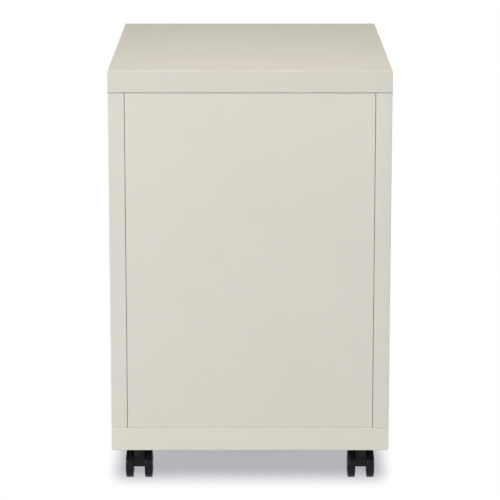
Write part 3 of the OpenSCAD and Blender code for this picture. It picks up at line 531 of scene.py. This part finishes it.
class CABINET_OT_pulls(bpy.types.Operator):
    """Bends each full-width pull from one strip, with rounded folds"""
    bl_idname = "cabinet.pulls"
    bl_label = "Pulls"

    def execute(self, context):
        shapes = shape_settings()
        for drawer in ("box", "file"):
            low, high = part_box(f"{drawer}_drawer_pull")
            bm = bmesh.new()
            rows = [[bm.verts.new((x, y, z)) for x in (low.x, high.x)]
                    for y, z in pull_path(low, high)]
            for first, second in zip(rows, rows[1:]):
                bm.faces.new((first[0], first[1], second[1], second[0]))
            piece = new_piece(f"{drawer}_pull_strip", bm, f"{drawer}_drawer",
                              material("powder coat, putty"))
            thick = piece.modifiers.new("sheet", "SOLIDIFY")
            thick.thickness = shapes.pull_sheet
            thick.offset = 0
            ease_edges(piece, shapes.sheet_edge)
            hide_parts(f"{drawer}_drawer_pull")
        return {"FINISHED"}


class CABINET_OT_boxes(bpy.types.Operator):
    """Coats the drawers' boxes and divider"""
    bl_idname = "cabinet.boxes"
    bl_label = "Drawer boxes"

    def execute(self, context):
        dress(BOX_NODES, material("powder coat, inside"), shape_settings().sheet_edge)
        dress(("file_folder_rails",), material("moulded nylon"), shape_settings().sheet_edge)
        return {"FINISHED"}


class CABINET_OT_frame(bpy.types.Operator):
    """Plates the uprights, stiffener and gussets, and finishes the counterweight"""
    bl_idname = "cabinet.frame"
    bl_label = "Inner frame"

    def execute(self, context):
        shapes = shape_settings()
        dress(FRAME_NODES, material("zinc plate"), shapes.sheet_edge)
        dress(("counterweight",), material("cast iron"), shapes.mould_edge)
        dress(("drawer_bumpers",), material("soft rubber"), shapes.head_edge, 3)
        return {"FINISHED"}


class CABINET_OT_slides(bpy.types.Operator):
    """Plates the slides' members and polishes their cages and balls"""
    bl_idname = "cabinet.slides"
    bl_label = "Slides"

    def execute(self, context):
        dress(SLIDE_NODES, material("zinc plate"), shape_settings().sheet_edge)
        for name in CAGE_NODES:
            wear(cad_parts[name], material("ground steel"))
            shade_smooth(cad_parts[name])
        return {"FINISHED"}


class CABINET_OT_hardware(bpy.types.Operator):
    """Plates the rivets, the catches, the lock's inner parts and the casters' stems"""
    bl_idname = "cabinet.hardware"
    bl_label = "Hardware"

    def execute(self, context):
        dress(HARDWARE_NODES, material("zinc plate"), shape_settings().head_edge)
        return {"FINISHED"}


class CABINET_OT_lock(bpy.types.Operator):
    """Turns the lock's bezel and finishes its barrel and its bar's guides"""
    bl_idname = "cabinet.lock"
    bl_label = "Lock"

    def execute(self, context):
        shapes = shape_settings()
        low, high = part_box("lock_housing")
        barrel_low, barrel_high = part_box("lock_barrel")
        centre = (low + high) / 2
        barrel_gap = 0.05 * MM
        bore_r = (barrel_high.x - barrel_low.x) / 2 + barrel_gap
        bore_round = shapes.bezel_bore
        bezel_r = (high.x - low.x) / 2
        body_r = bezel_r - shapes.bezel_lip
        crown = shapes.bezel_crown
        proud = CAD_FRONT_Y - low.y
        deep = high.y - low.y
        place = Matrix.Translation((centre.x, low.y, centre.z)) @ Matrix.Rotation(
            math.radians(-90), 4, "X")
        profile = [(bore_r, deep)]
        profile += arc((bore_r + bore_round, bore_round), bore_round, 180, 270, 4)
        profile += arc((bezel_r - crown, crown), crown, 270, 360, 6)
        profile += [(bezel_r, proud), (body_r, proud), (body_r, deep)]
        bm = bmesh.new()
        lathe(bm, profile, place)
        piece = new_piece("lock_bezel", bm, "cabinet", material("chrome plate"))
        shade_smooth(piece)
        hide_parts("lock_housing")
        dress(("lock_barrel",), material("chrome plate"), shapes.head_edge, 3)
        dress(("lock_bar_guides",), material("moulded nylon"), shapes.head_edge)
        return {"FINISHED"}


def wheel_profile(radius, bore):
    """Half section of a wheel, with its inner face at 0: a blind bore for the axle, a recess
    in the inner face, rounded shoulders, and a dish between a raised rim and the hub's cap."""
    shapes = shape_settings()
    width = WHEEL_WIDTH
    outer_round = shapes.tread_round
    inner_round = 0.8 * shapes.tread_round
    cap_round = 0.5 * MM
    hub = shapes.hub_cap
    hub_wall = hub + 1.2 * MM
    rim = radius - shapes.wheel_rim
    recess_z = shapes.wheel_recess
    dish_z = width - shapes.wheel_dish
    # The walls of the recess and the dish lean, so that the wheel leaves its mould
    lean = 0.6 * MM
    dish_lean = 0.8 * MM
    # The rim's inner edge is cut off this far outwards and this far down
    cut_r = 0.4 * MM
    cut_z = 0.3 * MM
    profile = [(0, width / 2), (bore, width / 2), (bore, 0)]
    profile += [(hub_wall, 0), (hub_wall + lean, recess_z), (rim - lean, recess_z), (rim, 0)]
    profile += arc((radius - inner_round, inner_round), inner_round, 270, 360, 8)
    profile += [(radius, width / 2)]
    profile += arc((radius - outer_round, width - outer_round), outer_round, 0, 90, 10)
    profile += [(rim + cut_r, width), (rim, width - cut_z)]
    profile += [(rim - dish_lean, dish_z), (hub + dish_lean, dish_z)]
    profile += arc((hub - cap_round, width - cap_round), cap_round, 0, 90, 4)
    profile += [(0, width)]
    return profile


def add_ribs(bm, place, radius):
    """Radial ribs that stand in a wheel's dish, a little lower than its outer face."""
    shapes = shape_settings()
    end_gap = 0.4 * MM
    inner = shapes.hub_cap + end_gap
    outer = radius - shapes.wheel_rim - end_gap
    # The ribs' roots are sunk into the dish's floor
    root_z = WHEEL_WIDTH - shapes.wheel_dish - 0.15 * MM
    top_z = WHEEL_WIDTH - 0.75 * MM
    middle = Matrix.Translation(((inner + outer) / 2, 0, (root_z + top_z) / 2))
    size = Matrix.Diagonal((outer - inner, shapes.rib_width, top_z - root_z, 1))
    for i in range(shapes.rib_count):
        turn = Matrix.Rotation(2 * math.pi * i / shapes.rib_count, 4, "Z")
        box = bmesh.ops.create_cube(bm, size=1.0)
        bmesh.ops.transform(bm, matrix=place @ turn @ middle @ size, verts=box["verts"])


def add_axle(bm, low, high):
    """Axle from inside one wheel of a pair to inside the other, within the pair's box."""
    centre = (low + high) / 2
    end = 0.6 * WHEEL_WIDTH
    span = high.x - low.x - 2 * end
    place = Matrix.Translation((low.x + end, centre.y, centre.z)) @ Matrix.Rotation(
        math.radians(90), 4, "Y")
    lathe(bm, [(0, 0), (AXLE_RADIUS, 0), (AXLE_RADIUS, span), (0, span)], place, 32)


class CABINET_OT_wheels(bpy.types.Operator):
    """Turns the twin wheels of each caster, with ribs in their dished faces"""
    bl_idname = "cabinet.wheels"
    bl_label = "Caster wheels"

    def execute(self, context):
        bore = AXLE_RADIUS + 0.05 * MM
        for corner in CORNERS:
            low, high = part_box(f"{corner}_caster_wheels")
            centre = (low + high) / 2
            radius = (high.z - low.z) / 2
            bm = bmesh.new()
            for side in (-1, 1):
                inner_x = side * ((high.x - low.x) / 2 - WHEEL_WIDTH)
                place = Matrix.Translation(centre + Vector((inner_x, 0, 0))) @ Matrix.Rotation(
                    math.radians(90 * side), 4, "Y")
                lathe(bm, wheel_profile(radius, bore), place)
                add_ribs(bm, place, radius)
            add_axle(bm, low, high)
            piece = new_piece(f"{corner}_twin_wheels", bm, f"{corner}_wheels",
                              material("moulded wheel nylon"))
            shade_smooth(piece)
            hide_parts(f"{corner}_caster_wheels")
        return {"FINISHED"}


class CABINET_OT_casters(bpy.types.Operator):
    """Finishes the casters' bodies and brake levers"""
    bl_idname = "cabinet.casters"
    bl_label = "Caster bodies"

    def execute(self, context):
        shapes = shape_settings()
        names = [f"{corner}_caster_body" for corner in CORNERS]
        names += ["front_left_brake_lever", "front_right_brake_lever"]
        dress(names, material("moulded nylon"), shapes.mould_edge, 3)
        return {"FINISHED"}


# ---- Stage ----

def area_light(name, place, size, power, tint):
    """Soft box that faces the middle of the cabinet."""
    lamp = bpy.data.lights.new(name, "AREA")
    lamp.shape = "SQUARE"
    lamp.size = size
    lamp.energy = power
    lamp.color = linear(tint)[:3]
    holder = bpy.data.objects.new(name, lamp)
    bpy.context.scene.collection.objects.link(holder)
    holder.location = place
    aim = Vector((0, 0, CAD_BOX[1][2] / 2)) - Vector(place)
    holder.rotation_mode = "QUATERNION"
    holder.rotation_quaternion = aim.to_track_quat("-Z", "Y")
    holder.visible_camera = False


def seen_directly(tree):
    """Socket that is 1 for rays that show the surroundings, and 0 for rays that light."""
    path = node(tree, "ShaderNodeLightPath")
    seen = path.outputs["Is Camera Ray"]
    for kind in ("Is Glossy Ray", "Is Transmission Ray"):
        seen = node(tree, "ShaderNodeMath", {0: seen, 1: path.outputs[kind]},
                    operation="MAXIMUM").outputs["Value"]
    return seen


def make_floor():
    """Pale floor with a painted shadow: in a soft-edged box under the cabinet it shows dark paint,
    which the lamps still light and shade, plus a fixed glow; outside it runs out into plain white.
    """
    stage = stage_settings()
    half = stage.floor_size / 2
    bm = bmesh.new()
    corners = [bm.verts.new((x * half, y * half, 0)) for x, y in
               ((-1, -1), (1, -1), (1, 1), (-1, 1))]
    bm.faces.new(corners)
    floor = bpy.data.objects.new("floor", mesh_of(bm, "floor"))
    bpy.context.scene.collection.objects.link(floor)
    made, tree, place = new_material("studio floor")
    # Painted shadow: full inside this box, fading out over the soft edge
    painted_shadow_core = (CAD_BOX[1][0] - stage.shadow_side, CAD_BOX[1][1] - stage.shadow_rear, 0)
    painted_shadow_edge = (stage.shadow_side + stage.shadow_beside,
                 stage.shadow_rear + stage.shadow_behind, 1)
    folded = node(tree, "ShaderNodeVectorMath", {0: place}, operation="ABSOLUTE")
    beyond = node(tree, "ShaderNodeVectorMath", {0: folded.outputs["Vector"], 1: painted_shadow_core},
                  operation="SUBTRACT")
    outside = node(tree, "ShaderNodeVectorMath", {0: beyond.outputs["Vector"], 1: (0, 0, 0)},
                   operation="MAXIMUM")
    share = node(tree, "ShaderNodeVectorMath", {0: outside.outputs["Vector"], 1: painted_shadow_edge},
                 operation="DIVIDE")
    away = node(tree, "ShaderNodeVectorMath", {0: share.outputs["Vector"]},
                operation="LENGTH")
    fade = node(tree, "ShaderNodeMapRange", {"Value": away.outputs["Value"]},
                interpolation_type="SMOOTHSTEP")
    matt = node(tree, "ShaderNodeBsdfDiffuse", {"Color": stage.floor_colour[:]})
    # The painted shadow shows this dark paint, which the lamps light and shade, plus a fixed glow
    deep = node(tree, "ShaderNodeBsdfDiffuse", {"Color": stage.painted_shadow_floor[:]})
    glow = node(tree, "ShaderNodeEmission", {"Color": stage.painted_shadow_tint[:],
                                             "Strength": stage.painted_shadow_glow})
    lit = node(tree, "ShaderNodeAddShader", {0: deep.outputs["BSDF"],
                                             1: glow.outputs["Emission"]})
    white = node(tree, "ShaderNodeEmission", {"Strength": 1.0})
    shown = node(tree, "ShaderNodeMixShader", {0: fade.outputs["Result"],
                                               1: lit.outputs["Shader"],
                                               2: white.outputs["Emission"]})
    surface = node(tree, "ShaderNodeMixShader", {0: seen_directly(tree), 1: matt.outputs["BSDF"],
                                                 2: shown.outputs["Shader"]})
    node(tree, "ShaderNodeOutputMaterial", {"Surface": surface.outputs["Shader"]})
    floor.data.materials.append(made)


def make_world():
    """White surroundings for what shows them, and a plain level for what they light."""
    stage = stage_settings()
    world = bpy.data.worlds.new("studio")
    world.use_nodes = True
    tree = world.node_tree
    tree.nodes.clear()
    ambient = node(tree, "ShaderNodeBackground", {"Color": stage.ambient_tint[:],
                                                  "Strength": stage.ambient})
    white = node(tree, "ShaderNodeBackground", {"Color": linear("#FFFFFF"), "Strength": 1.0})
    mixed = node(tree, "ShaderNodeMixShader", {0: seen_directly(tree),
                                               1: ambient.outputs["Background"],
                                               2: white.outputs["Background"]})
    node(tree, "ShaderNodeOutputWorld", {"Surface": mixed.outputs["Shader"]})
    bpy.context.scene.world = world


def make_camera():
    """Long-lens camera behind the cabinet, a little above it."""
    stage = stage_settings()
    lens = bpy.data.cameras.new("camera")
    lens.lens = stage.camera_lens
    lens.sensor_width = 36
    lens.clip_end = 100
    camera = bpy.data.objects.new("camera", lens)
    bpy.context.scene.collection.objects.link(camera)
    camera.location = (0, stage.camera_back, stage.camera_up)
    camera.rotation_euler = (math.radians(90) - stage.camera_pitch, 0, math.radians(180))
    bpy.context.scene.camera = camera


# Name, place and size in metres, power in watts, tint
LAMPS = (
    ("high rear left", (0.7, 2.1, 2.35), 0.8, 9.5, "#FFFAFA"),
    ("high rear right", (-0.9, 2.1, 2.35), 0.8, 6, "#FFFAFA"),
    ("over the top", (0.0, 0.45, 1.5), 0.6, 5.1, "#FFF7F0"),
    ("low rear left", (1.8, 3.2, 1.3), 1.4, 54.5, "#F4FAFE"),
    ("low rear right", (-1.8, 3.2, 1.1), 1.4, 6.6, "#FBFCFF"),
    ("beside the casters, left", (1.4, 0.32, 0.15), 0.26, 3, "#F4F2F0"),
    ("beside the casters, right", (-1.4, 0.32, 0.15), 0.26, 3, "#F4F2F0"),
    ("front left", (-2.6, -2.4, 0.75), 1.6, 62, "#FFFDF8"),
    ("front right", (2.7, -2.2, 0.75), 1.6, 62, "#FFFFFD"),
)


class CABINET_OT_stage(bpy.types.Operator):
    """Makes the floor, the surroundings, the lights and the camera"""
    bl_idname = "cabinet.stage"
    bl_label = "Stage"

    def execute(self, context):
        make_floor()
        make_world()
        for lamp in LAMPS:
            area_light(*lamp)
        make_camera()
        bpy.context.scene.view_settings.view_transform = "Standard"
        return {"FINISHED"}


OPERATORS = (CABINET_OT_case, CABINET_OT_fronts, CABINET_OT_pulls, CABINET_OT_boxes,
             CABINET_OT_frame, CABINET_OT_slides, CABINET_OT_hardware, CABINET_OT_lock,
             CABINET_OT_wheels, CABINET_OT_casters, CABINET_OT_stage)


class CABINET_PT_panel(bpy.types.Panel):
    """Lists the steps that dress the cabinet"""
    bl_idname = "CABINET_PT_panel"
    bl_label = "Pedestal cabinet"
    bl_space_type = "VIEW_3D"
    bl_region_type = "UI"
    bl_category = "Cabinet"

    def draw(self, context):
        for step in OPERATORS:
            self.layout.operator(step.bl_idname)
        for group in (context.scene.cabinet_finish, context.scene.cabinet_shapes,
                      context.scene.cabinet_stage):
            for name in group.__annotations__:
                self.layout.prop(group, name)


SETTINGS = {"cabinet_finish": CabinetFinish, "cabinet_shapes": CabinetShapes,
            "cabinet_stage": CabinetStage}
CLASSES = (*SETTINGS.values(), *OPERATORS, CABINET_PT_panel)


def register():
    """Adds the classes and their settings to Blender."""
    for part in CLASSES:
        bpy.utils.register_class(part)
    for name, group in SETTINGS.items():
        setattr(bpy.types.Scene, name, bpy.props.PointerProperty(type=group))


def unregister():
    """Takes the classes and their settings away again."""
    for name in SETTINGS:
        delattr(bpy.types.Scene, name)
    for part in reversed(CLASSES):
        bpy.utils.unregister_class(part)


def main():
    """Dresses the cabinet."""
    register()
    for step in OPERATORS:
        group, name = step.bl_idname.split(".")
        getattr(getattr(bpy.ops, group), name)()
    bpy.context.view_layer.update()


if __name__ == "__main__":
    main()
